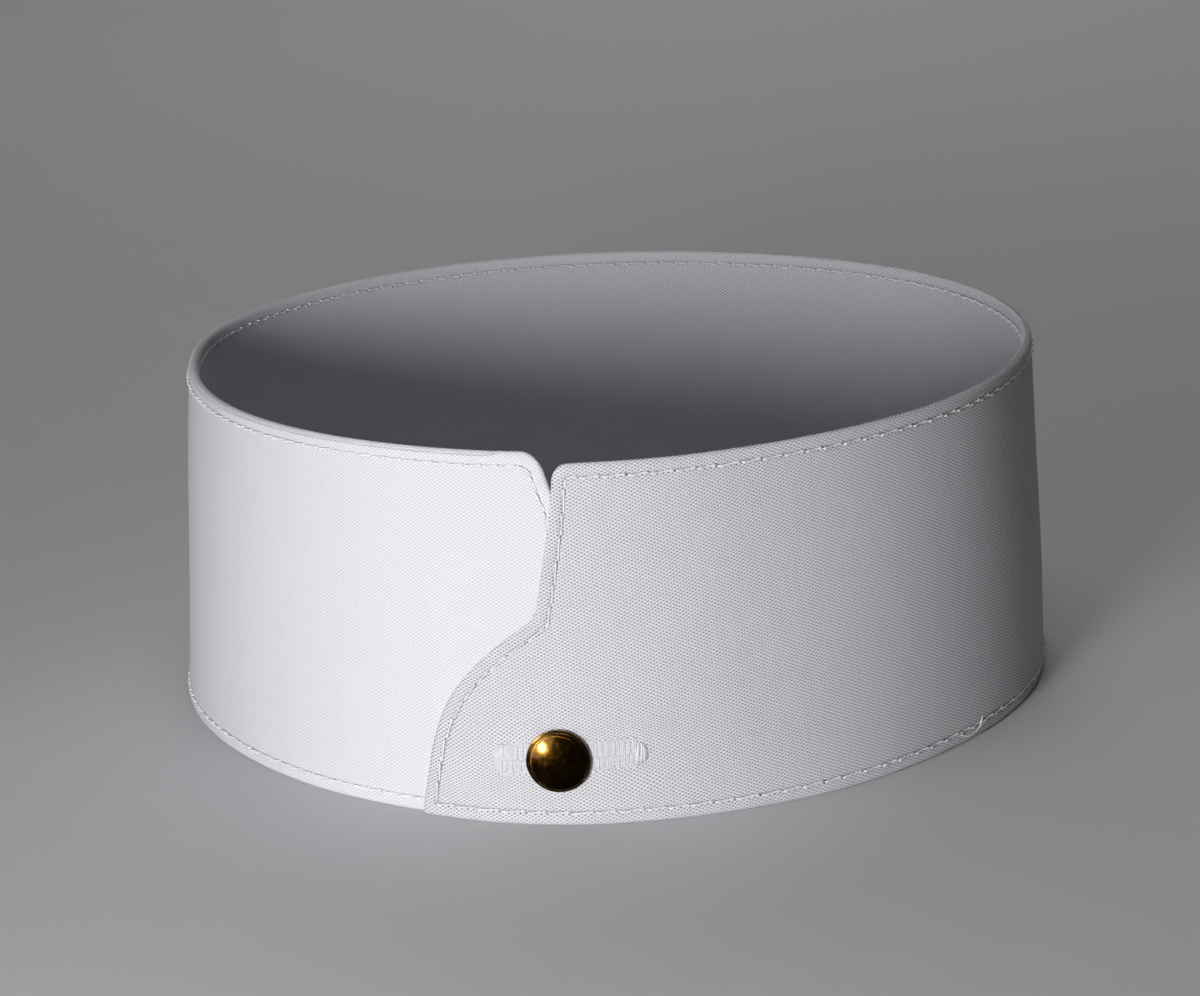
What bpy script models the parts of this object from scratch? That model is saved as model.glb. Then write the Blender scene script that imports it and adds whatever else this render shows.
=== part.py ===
"""Detachable stand-up shirt collar, closed in a ring by a brass collar stud.

The collar is a tall curved band of two cotton plies with their edges turned in.
It stands on its bottom edge, its front faces -Y and +Z is up. The wearer's left
end, on the +X side, laps over the right end, and the stud passes through both.
Lengths are in millimetres and become metres where a mesh is made.
"""
import math

import bpy
import numpy as np

MM = 0.001

# The band's plan curve at its bottom edge: half an ellipse to the front, half an
# ellipse to the back, and a slightly pointed centre front where the ends lap.
HEIGHT = 51.0
HALF_WIDTH = 65.5
FRONT_RADIUS = 64.2
BACK_RADIUS = 56.4
FRONT_POINT = 1.7
FRONT_POINT_ANGLE = 0.35
TOP_SHARE = 0.96           # the top edge is this share of the bottom edge
TOP_LEAN = 1.0             # and it leans this far towards +X

# Cloth.
PLY = 1.0
SEAM_GAP = 0.3
WALL = 2.0 * PLY + SEAM_GAP
UNDER_END_LIFT = 1.2       # the under end stands this much taller at the front
LIFT_LENGTH = 90.0

# The shaped ends, as their reach past centre front at each height.
EDGE_SLANT = 0.165         # mm further out for each mm lower
SLANT_START = 46.5
SLANT_SOFTNESS = 3.0
TAB_REACH = 12.5
TAB_STRAIGHT = 8.0         # the tab's own edge is straight up to this height
TAB_BEND = 29.6            # and its shoulder ends in a bend at this one
SHOULDER_POWER = 2.3
TOP_CORNER = 2.3           # radius

# The lap: how far each end leaves the plan curve, outwards or inwards.
LAP_OFFSET = (WALL + SEAM_GAP) / 2.0
LAP_FULL = 22.0            # full offset this far each side of centre front
LAP_FADE = 40.0

# Buttonholes.
STUD_HEIGHT = 9.5
STUD_TILT = math.atan((1.0 - TOP_SHARE) * FRONT_RADIUS / HEIGHT)
FRONT_HOLE = {"length": 18.0, "middle": 0.95, "slit": 0.6, "tilt": math.radians(2.8)}
BACK_HOLE = {"length": 14.0, "middle": 0.0, "slit": 1.0, "tilt": 0.0}
POST_SWELL = 2.6           # half length over which a slit widens round the post

# Stud.
CAP_RADIUS = 4.45
CAP_HEIGHT = 1.55
POST_RADIUS = 1.2
BASE_RADIUS = 6.2
BASE_THICKNESS = 1.2
CAP_UNDERSIDE = LAP_OFFSET + 0.5             # outwards from the plan curve
BASE_TOP = -LAP_OFFSET - WALL - 0.8
ROUND_STEPS = 48

# Mesh stations: rows up the band, and how finely its length is divided.
ROW_HEIGHTS = np.array([0.0, 5.0, 10.0, 14.0, 18.0, 22.0, 26.0, TAB_BEND, 36.0, 43.0,
                        HEIGHT - TOP_CORNER, 50.0, 50.7, HEIGHT])
END_LENGTH = 48.0
END_STEPS = 12
MIDDLE_STEPS = 30

COTTON_WHITE = (0.80, 0.81, 0.83, 1.0)
COTTON_INNER = (0.76, 0.77, 0.79, 1.0)
BRASS = (0.72, 0.47, 0.20, 1.0)


def smooth_step(value):
    """0 below 0, 1 above 1, and a soft S between."""
    t = np.clip(value, 0.0, 1.0)
    return t * t * (3.0 - 2.0 * t)


def plan_radius(angle):
    """Radius of the bottom edge at an angle from centre front: two half ellipses."""
    depth = np.where(np.cos(angle) > 0.0, FRONT_RADIUS, BACK_RADIUS)
    ellipse = 1.0 / np.hypot(np.sin(angle) / HALF_WIDTH, np.cos(angle) / depth)
    return ellipse + FRONT_POINT * np.exp(-(angle / FRONT_POINT_ANGLE) ** 2)


def taper(height):
    """Size of the ring at a height, as a share of its size at the bottom edge."""
    return 1.0 - (1.0 - TOP_SHARE) * height / HEIGHT


FRONT_REACH = float(plan_radius(0.0)) * taper(STUD_HEIGHT) + CAP_UNDERSIDE + CAP_HEIGHT
BACK_REACH = float(plan_radius(math.pi))
CENTRE_SHIFT = (FRONT_REACH - BACK_REACH) / 2.0    # puts the origin in mid-depth

ANGLES = np.linspace(-math.pi, math.pi, 7201)
PLAN_X = plan_radius(ANGLES) * np.sin(ANGLES)
PLAN_Y = -plan_radius(ANGLES) * np.cos(ANGLES)
ARC = np.concatenate([[0.0], np.cumsum(np.hypot(np.diff(PLAN_X), np.diff(PLAN_Y)))])
RING_LENGTH = float(ARC[-1])


def plan_frame(arc):
    """Plan points and outward normals at arc lengths from centre front, towards +X."""
    place = np.mod(arc + RING_LENGTH / 2.0, RING_LENGTH)
    x = np.interp(place, ARC, PLAN_X)
    y = np.interp(place, ARC, PLAN_Y)
    along_x = np.interp(place, ARC, np.gradient(PLAN_X, ARC))
    along_y = np.interp(place, ARC, np.gradient(PLAN_Y, ARC))
    size = np.hypot(along_x, along_y)
    return x, y, along_y / size, -along_x / size


def end_reach(height):
    """How far a shaped end passes centre front: a slant, a tab and a round corner."""
    slant = SLANT_SOFTNESS * np.log1p(np.exp((SLANT_START - height) / SLANT_SOFTNESS))
    shoulder = np.clip((height - TAB_STRAIGHT) / (TAB_BEND - TAB_STRAIGHT), 0.0, 1.0)
    into_corner = np.clip(height - (HEIGHT - TOP_CORNER), 0.0, TOP_CORNER)
    corner = TOP_CORNER - np.sqrt(TOP_CORNER ** 2 - into_corner ** 2)
    return EDGE_SLANT * slant + TAB_REACH * (1.0 - shoulder ** SHOULDER_POWER) - corner


def lap_offset(arc):
    """Outwards at the over end, inwards at the under end, none round the neck."""
    over = 1.0 - smooth_step((arc - LAP_FULL) / LAP_FADE)
    under = smooth_step((arc - (RING_LENGTH - LAP_FULL - LAP_FADE)) / LAP_FADE)
    return LAP_OFFSET * (over - under)


def band_point(arc, height, depth):
    """A point of the band: on the tapered plan curve, moved in by its depth."""
    x, y, normal_x, normal_y = plan_frame(arc)
    share = taper(height)
    out = lap_offset(arc) - depth
    lift = UNDER_END_LIFT * smooth_step((arc - (RING_LENGTH - LIFT_LENGTH)) / LIFT_LENGTH)
    return np.stack([x * share + normal_x * out + TOP_LEAN * height / HEIGHT,
                     y * share + normal_y * out + CENTRE_SHIFT,
                     height * (1.0 + lift / HEIGHT)], axis=-1)


def band_stations():
    """Shares of the band's length, close together at the two ends."""
    end = END_LENGTH / RING_LENGTH
    first = np.linspace(0.0, end, END_STEPS + 1)
    middle = np.linspace(end, 1.0 - end, MIDDLE_STEPS + 1)[1:-1]
    return np.concatenate([first, middle, 1.0 - first[::-1]])


def make_material(name, colour, roughness, metallic):
    material = bpy.data.materials.new(name)
    material.use_nodes = True
    shader = material.node_tree.nodes["Principled BSDF"]
    shader.inputs["Base Color"].default_value = colour
    shader.inputs["Roughness"].default_value = roughness
    shader.inputs["Metallic"].default_value = metallic
    return material


def make_object(name, vertices, faces, material=None):
    mesh = bpy.data.meshes.new(name)
    mesh.from_pydata((np.asarray(vertices) * MM).tolist(), [], faces)
    mesh.update()
    piece = bpy.data.objects.new(name, mesh)
    bpy.context.scene.collection.objects.link(piece)
    if material:
        mesh.materials.append(material)
    return piece


def make_ply(name, outer_depth, material):
    """One ply: its outer and inner faces on the same stations, and four closed edges."""
    shares = band_stations()
    reach = end_reach(ROW_HEIGHTS)[:, None]
    arc = -reach + (RING_LENGTH + 2.0 * reach) * shares[None, :]
    height = np.broadcast_to(ROW_HEIGHTS[:, None], arc.shape)
    outer = band_point(arc, height, outer_depth)
    inner = band_point(arc, height, outer_depth + PLY)
    rows, columns = arc.shape
    index = np.arange(2 * rows * columns).reshape(2, rows, columns)
    faces = []
    for row in range(rows - 1):
        for column in range(columns - 1):
            square = index[:, row:row + 2, column:column + 2].reshape(2, 4)
            a, b, c, d = square[0].tolist()
            faces.append((a, b, d, c))
            a, b, c, d = square[1].tolist()
            faces.append((a, c, d, b))
    rim = np.concatenate([index[:, 0, :], index[:, 1:, -1], index[:, -1, -2::-1],
                          index[:, -2:0:-1, 0]], axis=1)
    following = np.roll(rim, -1, axis=1)
    for a, b, c, d in zip(rim[0], rim[1], following[1], following[0]):
        faces.append((int(a), int(b), int(c), int(d)))
    vertices = np.concatenate([outer.reshape(-1, 3), inner.reshape(-1, 3)])
    return make_object(name, vertices, faces, material)


def make_hole_cutter(name, hole, side, swell):
    """A lens-shaped bar along Y, widened round the post by a bell curve."""
    x = np.linspace(-hole["length"] / 2.0, hole["length"] / 2.0, 25) + hole["middle"]
    half = hole["slit"] / 2.0 + swell * np.exp(-(x / POST_SWELL) ** 2)
    outline_x = np.concatenate([x, x[::-1]])
    outline_z = np.concatenate([-half, half[::-1]])
    cos, sin = math.cos(hole["tilt"]), math.sin(hole["tilt"])
    world_x = outline_x * cos - outline_z * sin + TOP_LEAN * STUD_HEIGHT / HEIGHT
    world_z = outline_x * sin + outline_z * cos + STUD_HEIGHT
    wall_y = CENTRE_SHIFT + (-FRONT_REACH if side < 0 else BACK_REACH)
    near, far = wall_y - 14.0, wall_y + 14.0
    count = len(outline_x)
    front = np.stack([world_x, np.full(count, near), world_z], axis=1)
    back = np.stack([world_x, np.full(count, far), world_z], axis=1)
    faces = [tuple(range(count)), tuple(range(2 * count - 1, count - 1, -1))]
    faces += [(i, i + count, (i + 1) % count + count, (i + 1) % count) for i in range(count)]
    cutter = make_object(name, np.concatenate([front, back]), faces)
    cutter.hide_render = True
    cutter.display_type = "WIRE"
    return cutter


def cut(piece, cutter):
    boolean = piece.modifiers.new(cutter.name, "BOOLEAN")
    boolean.operation = "DIFFERENCE"
    boolean.solver = "EXACT"
    boolean.object = cutter


def make_turned(name, profile, material):
    """A piece turned about the stud's axis; its profile runs down the outer side."""
    points = [(radius, 0.0, along) for radius, along in profile]
    edges = [(i, i + 1) for i in range(len(points) - 1)]
    mesh = bpy.data.meshes.new(name)
    mesh.from_pydata((np.array(points) * MM).tolist(), edges, [])
    piece = bpy.data.objects.new(name, mesh)
    bpy.context.scene.collection.objects.link(piece)
    mesh.materials.append(material)
    screw = piece.modifiers.new("Turned", "SCREW")
    screw.steps = ROUND_STEPS
    screw.render_steps = ROUND_STEPS
    screw.use_merge_vertices = True
    screw.merge_threshold = 0.00001
    screw.use_smooth_shade = True
    piece.location = (TOP_LEAN * STUD_HEIGHT / HEIGHT * MM,
                      (CENTRE_SHIFT - float(plan_radius(0.0)) * taper(STUD_HEIGHT)) * MM,
                      STUD_HEIGHT * MM)
    piece.rotation_euler = (math.pi / 2.0 - STUD_TILT, 0.0, 0.0)
    return piece


def cap_profile():
    """Shallow dome, rolled rim and a blind socket over the post's end."""
    foot = CAP_UNDERSIDE
    dome = [(CAP_RADIUS * 0.9 * math.sin(t), foot + 0.75 + (CAP_HEIGHT - 0.75) * math.cos(t))
            for t in np.linspace(0.0, math.pi / 2.0, 8)]
    rim = [(CAP_RADIUS, foot + 0.5), (CAP_RADIUS, foot + 0.2), (CAP_RADIUS - 0.2, foot)]
    socket = [(POST_RADIUS + SEAM_GAP, foot), (POST_RADIUS + SEAM_GAP, foot + 0.8),
              (0.0, foot + 0.8)]
    return dome + rim + socket


def shank_profile():
    """Post with its end inside the cap, and the round base plate behind the cloth."""
    end = CAP_UNDERSIDE + 0.5
    plate = BASE_TOP - BASE_THICKNESS
    return [(0.0, end), (POST_RADIUS, end), (POST_RADIUS, BASE_TOP + 0.3),
            (POST_RADIUS + 0.4, BASE_TOP), (BASE_RADIUS - 0.3, BASE_TOP),
            (BASE_RADIUS, BASE_TOP - 0.3), (BASE_RADIUS, plate + 0.5),
            (BASE_RADIUS - 0.6, plate), (0.0, plate)]


for old in list(bpy.data.objects):
    bpy.data.objects.remove(old, do_unlink=True)

outer_cotton = make_material("starched_cotton", COTTON_WHITE, 0.75, 0.0)
inner_cotton = make_material("starched_cotton_inner", COTTON_INNER, 0.8, 0.0)
brass = make_material("polished_brass", BRASS, 0.25, 1.0)

outer_ply = make_ply("collar_outer_ply", 0.0, outer_cotton)
inner_ply = make_ply("collar_inner_ply", PLY + SEAM_GAP, inner_cotton)
front_cutter = make_hole_cutter("front_buttonhole_cutter", FRONT_HOLE, -1, 1.3)
back_cutter = make_hole_cutter("back_buttonhole_cutter", BACK_HOLE, 1, 0.0)
for ply in (outer_ply, inner_ply):
    cut(ply, front_cutter)
    cut(ply, back_cutter)

make_turned("stud_cap", cap_profile(), brass)
make_turned("stud_shank", shank_profile(), brass)
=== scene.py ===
import math

import bpy
import numpy as np
from mathutils import Matrix


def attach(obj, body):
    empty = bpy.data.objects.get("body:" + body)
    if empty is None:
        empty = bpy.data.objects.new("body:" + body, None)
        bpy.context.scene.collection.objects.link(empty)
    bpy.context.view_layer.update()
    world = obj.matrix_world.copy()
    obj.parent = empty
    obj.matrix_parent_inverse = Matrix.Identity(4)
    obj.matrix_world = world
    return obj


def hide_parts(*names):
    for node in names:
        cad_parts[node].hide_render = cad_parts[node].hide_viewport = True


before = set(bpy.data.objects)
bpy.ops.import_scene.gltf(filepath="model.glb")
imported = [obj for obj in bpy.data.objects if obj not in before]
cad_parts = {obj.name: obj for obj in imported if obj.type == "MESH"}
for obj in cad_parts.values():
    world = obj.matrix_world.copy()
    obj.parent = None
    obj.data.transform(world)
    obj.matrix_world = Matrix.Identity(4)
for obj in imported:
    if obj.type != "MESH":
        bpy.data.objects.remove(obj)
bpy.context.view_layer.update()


# Outer ply: starched plain-woven white cotton, cut as one long band with two shaped
# ends. Its edges are turned in against the inner ply's and stitched through close by,
# which leaves a thin soft rim all round.

MM = 0.001

# The band round the neck, as on its solid: height, plan curve and shaped ends.
HEIGHT = 51.0
HALF_WIDTH = 65.5
FRONT_RADIUS = 64.2
BACK_RADIUS = 56.4
FRONT_POINT = 1.7          # centre front stands out to a faint point, over an angle
FRONT_POINT_ANGLE = 0.35
TOP_SHARE = 0.96           # the ring's size at the top, as a share of the bottom
TOP_LEAN = 1.0
UNDER_END_LIFT = 1.2       # the under end stands higher, growing over a length
LIFT_LENGTH = 90.0
EDGE_SLANT = 0.165
SLANT_START = 46.5
SLANT_SOFTNESS = 3.0
TAB_REACH = 12.5
TAB_STRAIGHT = 8.0
TAB_BEND = 29.6
SHOULDER_POWER = 2.3
TOP_CORNER = 2.3
BOTTOM_CORNER = 0.55
LAP_OFFSET = 1.3           # how far the lapped ends part on the solids
LAP_FULL = 22.0
LAP_FADE = 40.0
STUD_HEIGHT = 9.5
CAP_UNDERSIDE = LAP_OFFSET + 0.5
CAP_HEIGHT = 1.55

# The pressed cloth: both plies together, and the stitch line inside the edge.
EDGE_RADIUS = 0.65
WALL = 2.0 * EDGE_RADIUS
HIDDEN_GAP = 0.04          # half the gap between the plies' hidden faces
LIP_GAP = 0.01
OVER_FACE = 0.7            # the over end's outer face stands this far outside the curve
LAP_PRESS = 0.3            # the lapped ends are pressed thinner by this share
LAP_GAP = 0.06
STITCH_INSET = 1.9
STITCH_SINK = 0.38
STITCH_SINK_WIDTH = 0.19
HEM_PUFF = 0.05
PUCKER_LENGTH = 3.1        # the hem rises and falls with the stitches
SEAM_ROLL = 0.95           # the inner ply rolls this far over the under end's top edge
SEAM_SINK = 0.17
ROLL_START = 150.0         # the roll begins this far back, and grows over a length
ROLL_RISE = 30.0
ROLL_STOP = 10.0           # and it ends this far from centre front
ROLL_FALL = 3.6
ROLL_REACH = 4.5           # the cloth below the edge is drawn up over this height
UNDER_TRIM = 1.65          # the under end is cut this much shorter near its top
TRIM_START = 41.5
TRIM_LENGTH = 8.0
UNDER_CORNER = 3.4
EDGE_FLARE = 0.40          # above the stud the over end's edge is free: its hem flares,
FLARE_WIDTH = 1.8
EDGE_SPRING = 0.60         # and the cloth beside it springs out, less towards the top
SPRING_WIDTH = 11.0
FREE_START = 11.0
FREE_RISE = 12.0
SPRING_EASE = 13.0

# Buttonholes worked through both plies: slit ends from the middle, and its rise.
HOLE_TILT = math.tan(math.radians(2.8))
FRONT_SLIT = (-8.0, 9.9)
BACK_SLIT = (-7.0, 7.0)
SLIT_HALF = 0.1
POST_OPENING = 1.2         # the post holds the slit open by this much, near itself
POST_OPENING_LENGTH = 2.6


def smooth_step(value):
    """0 below 0, 1 above 1, and 3t^2 - 2t^3 between."""
    t = np.clip(value, 0.0, 1.0)
    return t * t * (3.0 - 2.0 * t)


def plan_radius(angle):
    """Half an ellipse to the front and half to the back, plus a bell-shaped front point."""
    depth = np.where(np.cos(angle) > 0.0, FRONT_RADIUS, BACK_RADIUS)
    ellipse = 1.0 / np.hypot(np.sin(angle) / HALF_WIDTH, np.cos(angle) / depth)
    return ellipse + FRONT_POINT * np.exp(-(angle / FRONT_POINT_ANGLE) ** 2)


def taper(height):
    """The ring's size at a height, falling in a straight line to its share at the top."""
    return 1.0 - (1.0 - TOP_SHARE) * height / HEIGHT


FRONT_REACH = float(plan_radius(0.0)) * taper(STUD_HEIGHT) + CAP_UNDERSIDE + CAP_HEIGHT
CENTRE_SHIFT = (FRONT_REACH - float(plan_radius(math.pi))) / 2.0
plan_angles = np.linspace(-math.pi, math.pi, 7201)
plan_x = plan_radius(plan_angles) * np.sin(plan_angles)
plan_y = -plan_radius(plan_angles) * np.cos(plan_angles)
plan_arc = np.concatenate([[0.0], np.cumsum(np.hypot(np.diff(plan_x), np.diff(plan_y)))])
RING_LENGTH = float(plan_arc[-1])


def end_reach(height, under=False):
    """How far a shaped end passes centre front: a soft slant, plus the tab's shoulder
    as one minus a power of the height, less a quarter circle at each corner. The under
    end is trimmed a little towards its top and has a wider top corner."""
    trim = UNDER_TRIM * smooth_step((height - TRIM_START) / TRIM_LENGTH) if under else 0.0
    corner = UNDER_CORNER if under else TOP_CORNER
    slant = SLANT_SOFTNESS * np.log1p(np.exp((SLANT_START - height) / SLANT_SOFTNESS))
    shoulder = np.clip((height - TAB_STRAIGHT) / (TAB_BEND - TAB_STRAIGHT), 0.0, 1.0)
    top = np.clip(height - (HEIGHT - corner), 0.0, corner)
    bottom = np.clip(BOTTOM_CORNER - height, 0.0, BOTTOM_CORNER)
    corners = (corner - np.sqrt(corner ** 2 - top ** 2) + trim
               + BOTTOM_CORNER - np.sqrt(BOTTOM_CORNER ** 2 - bottom ** 2))
    return EDGE_SLANT * slant + TAB_REACH * (1.0 - shoulder ** SHOULDER_POWER) - corners


def lap_share(arc):
    """Two shares, for the over end and the under end: each is 1 over its lap and falls
    to 0 round the neck in a soft step."""
    over = 1.0 - smooth_step((arc - LAP_FULL) / LAP_FADE)
    under = smooth_step((arc - (RING_LENGTH - LAP_FULL - LAP_FADE)) / LAP_FADE)
    return over, under


def free_edge(arc, height):
    """How far the over end's shaped edge springs out, above the stud: an exponential
    across its turned hem and a wider bell curve beside it."""
    inside = np.maximum(arc + end_reach(height), 0.0)
    here = (arc < LAP_FULL + LAP_FADE) * smooth_step((height - FREE_START) / FREE_RISE)
    top = 1.0 - 0.5 * smooth_step((height - (HEIGHT - SPRING_EASE)) / SPRING_EASE)
    spring = EDGE_SPRING * np.exp(-(inside / SPRING_WIDTH) ** 2)
    return here * top * (EDGE_FLARE * np.exp(-inside / FLARE_WIDTH) + spring)


def soft_waves(arc, height):
    """Faint waves left by washing and pressing, outwards: a few sines along the band,
    each leaning a little with height, some stronger towards one edge, and none over
    the stud's tab, which lies flat."""
    up = height / HEIGHT
    waves = 0.16 * np.sin(arc / 11.5 + 1.1 * up + 0.6) * (0.35 + 0.65 * up)
    waves = waves + 0.13 * np.sin(arc / 7.3 - 1.9 * up + 2.2) * (1.0 - 0.7 * up)
    waves = waves + 0.10 * np.sin(arc / 17.0 + 4.0 * up) + 0.05 * np.sin(height / 5.2 + arc / 23.0)
    tab = smooth_step((np.abs(arc - 1.0) - 14.0) / 14.0)
    return waves * tab


def band_point(arc, height, depth):
    """A point of the band in metres: the plan curve times the taper, moved along its
    normal by lap and waves less the depth, leaned, and lifted at the under end."""
    place = np.mod(arc + RING_LENGTH / 2.0, RING_LENGTH)
    x = np.interp(place, plan_arc, plan_x)
    y = np.interp(place, plan_arc, plan_y)
    along_x = np.interp(place, plan_arc, np.gradient(plan_x, plan_arc))
    along_y = np.interp(place, plan_arc, np.gradient(plan_y, plan_arc))
    size = np.hypot(along_x, along_y)
    over, under = lap_share(arc)
    pressed = 1.0 - LAP_PRESS * (over + under)
    lap = OVER_FACE * over - (WALL * (1.0 - LAP_PRESS) + LAP_GAP - OVER_FACE) * under
    out = lap + soft_waves(arc, height) + free_edge(arc, height) - depth * pressed
    share = taper(height)
    lift = UNDER_END_LIFT * smooth_step((arc - (RING_LENGTH - LIFT_LENGTH)) / LIFT_LENGTH)
    point = np.stack([x * share + along_y / size * out + TOP_LEAN * height / HEIGHT,
                      y * share - along_x / size * out + CENTRE_SHIFT,
                      height * (1.0 + lift / HEIGHT)], axis=-1)
    return point * MM


def rim_place(along, sink):
    """Inset from the edge and depth from the outer face, for a distance walked round
    the rim from its crown: a half circle of the edge radius between two flat faces."""
    turn = np.clip(along / EDGE_RADIUS, -math.pi / 2.0, math.pi / 2.0)
    radius = EDGE_RADIUS - sink
    flat = np.maximum(np.abs(along) - EDGE_RADIUS * math.pi / 2.0, 0.0)
    return EDGE_RADIUS - radius * np.cos(turn) + flat, EDGE_RADIUS - radius * np.sin(turn)


# Stations in from every edge: seam lip, round rim, hem, stitch line, plain cloth.
rim_turns = np.radians([8.0, 16.0, 30.0, 45.0, 60.0, 75.0, 90.0])
edge_inset = np.concatenate([[0.10], EDGE_RADIUS * (1.0 - np.cos(rim_turns)),
                             [0.95, 1.30, 1.58, 1.74, 1.90, 2.06, 2.22, 2.50, 2.90, 3.50]])
hidden_inset = np.maximum(edge_inset, np.minimum(0.10 + 0.06 * np.arange(18), 0.8))
above_slit = np.array([SLIT_HALF, 0.25, 0.5, 0.9, 1.5, 2.2, 2.9])
hole_rows = np.concatenate([-above_slit[::-1], above_slit]) + STUD_HEIGHT
lower_rows = np.array([4.5, 5.6])
upper_rows = np.linspace(13.4, HEIGHT - 4.6, 20)
inner_rows = np.concatenate([lower_rows, hole_rows, upper_rows])
face_rows = np.concatenate([edge_inset, inner_rows, HEIGHT - edge_inset[::-1]])
hidden_rows = np.concatenate([hidden_inset, inner_rows, HEIGHT - hidden_inset[::-1]])
HOLE_ROW = int(np.argmin(np.abs(face_rows - (STUD_HEIGHT - SLIT_HALF))))

# Columns: fine near the shaped ends, wider round the neck.
SLANT_FADE = 48.0
SQUARE_REACH = 3.5
near_arc = np.arange(4.0, 60.0, 0.45)
far_arc = np.linspace(60.3, RING_LENGTH / 2.0, 170)


def half_net(rows, insets, under):
    """Distance from centre front of half the net: its columns start on the shaped end,
    stepped in square to the edge, by the root of one plus the edge's slope squared, and
    lose its shape in a soft step."""
    start = np.concatenate([insets, near_arc, far_arc])
    fine = np.linspace(0.0, HEIGHT, 1021)
    slope = np.clip(np.gradient(end_reach(fine, under), fine), -1.3, 1.3)
    kernel = np.exp(-(np.arange(-60, 61) / 20.0) ** 2 / 2.0)
    soft = np.convolve(np.pad(slope, 60, mode="edge"), kernel / kernel.sum(), "valid")
    spread = np.sqrt(1.0 + np.interp(rows, fine, soft) ** 2) - 1.0
    keep = 1.0 - smooth_step(start / SLANT_FADE)
    keep[:len(insets)] = 1.0
    near = SQUARE_REACH * (1.0 - np.exp(-start / SQUARE_REACH)) * keep
    return start - end_reach(rows, under)[:, None] * keep + spread[:, None] * near


def band_net(rows, insets):
    """Arc length and height of every net point: the over end's half, then the under
    end's half, which is taken off the ring's whole length."""
    arc = np.concatenate([half_net(rows, insets, False),
                          RING_LENGTH - half_net(rows, insets, True)[:, -2::-1]], axis=1)
    return arc, rows[:, None] * np.ones(arc.shape)


# Heights along a shaped end, closer together round its top corner.
corner_turn = np.linspace(0.0, math.pi / 2.0, 90)[1:]
end_heights = np.concatenate([np.linspace(0.0, HEIGHT - UNDER_CORNER, 700),
                              HEIGHT - UNDER_CORNER * (1.0 - np.sin(corner_turn))])


def edge_distance(arc, height):
    """Distance in from the outline: the least of the heights to the long edges and the
    distance to a fine line of points along the nearer shaped end."""
    distance = np.minimum(height, HEIGHT - height)
    for under in (False, True):
        from_front = RING_LENGTH - arc if under else arc
        close = from_front < 16.0
        end = -end_reach(end_heights, under)
        run, rise = np.diff(end), np.diff(end_heights)
        across = from_front[close][:, None] - end[None, :-1]
        up = height[close][:, None] - end_heights[None, :-1]
        share = np.clip((across * run + up * rise) / (run ** 2 + rise ** 2), 0.0, 1.0)
        nearest = np.hypot(across - share * run, up - share * rise).min(axis=1)
        distance[close] = np.minimum(distance[close], nearest)
    return np.maximum(distance, 0.0)


def post_opening(along):
    """How far the stud's post holds a slit open: a bell curve along the slit."""
    return POST_OPENING * np.exp(-(along / POST_OPENING_LENGTH) ** 2)


def open_holes(arc, height):
    """Heights with the rows eased apart: along the front slits' slant and round the
    post as a bell curve along the slit, fading away from it as an exponential."""
    from_front = np.where(arc < RING_LENGTH / 2.0, arc, arc - RING_LENGTH)
    off = height - STUD_HEIGHT
    near = 1.0 - smooth_step((np.abs(off) - 2.0) / 4.0)
    along = np.clip(from_front, -12.0, 12.0)
    fade = 1.0 - smooth_step((np.abs(from_front) - 13.0) / 10.0)
    tilt = HOLE_TILT * along * fade * near
    return height + tilt + np.sign(off) * post_opening(from_front) * np.exp(-np.abs(off) / 2.2) * near


def face_relief(distance, arc):
    """How far the outside lies under flat: a bell-shaped groove along the stitch line,
    less a slight puff of the turned hem outside it, which rises and falls as a sine
    along the edge where the stitches pucker it."""
    groove = STITCH_SINK * np.exp(-((distance - STITCH_INSET) / STITCH_SINK_WIDTH) ** 2)
    hem = np.clip(distance / STITCH_INSET, 0.0, 1.0)
    pucker = 1.0 + 0.7 * np.sin(2.0 * math.pi * arc / PUCKER_LENGTH) + 0.3 * np.sin(arc / 4.3)
    return groove - HEM_PUFF * pucker * np.sin(math.pi * hem) ** 2


def rolled_rim(arc, height, lip, side):
    """Which points the inner ply's roll over the under end's top edge moves, and their
    new height and depth: each is walked round the rim by the roll, which fades in a
    straight line below the edge and in soft steps along it. The seam's lip is sunk."""
    below_top = np.maximum(HEIGHT - height, 0.0)
    walk = EDGE_RADIUS * np.arccos(np.clip(1.0 - below_top / EDGE_RADIUS, 0.0, 1.0))
    walk = walk + np.maximum(below_top - EDGE_RADIUS, 0.0)
    walk = np.where(lip, 0.05, walk)
    along = (smooth_step((arc - (RING_LENGTH - ROLL_START)) / ROLL_RISE)
             * (1.0 - smooth_step((arc - (RING_LENGTH - ROLL_STOP)) / ROLL_FALL)))
    roll = along * SEAM_ROLL * np.clip(1.0 - walk / ROLL_REACH, 0.0, 1.0) * (height > HEIGHT / 2.0)
    inset, depth = rim_place(side * walk + roll, np.where(lip, SEAM_SINK, 0.0))
    depth = depth + face_relief(inset, arc) * np.sign(EDGE_RADIUS - depth)
    return roll > 0.001, HEIGHT - inset, depth


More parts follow.
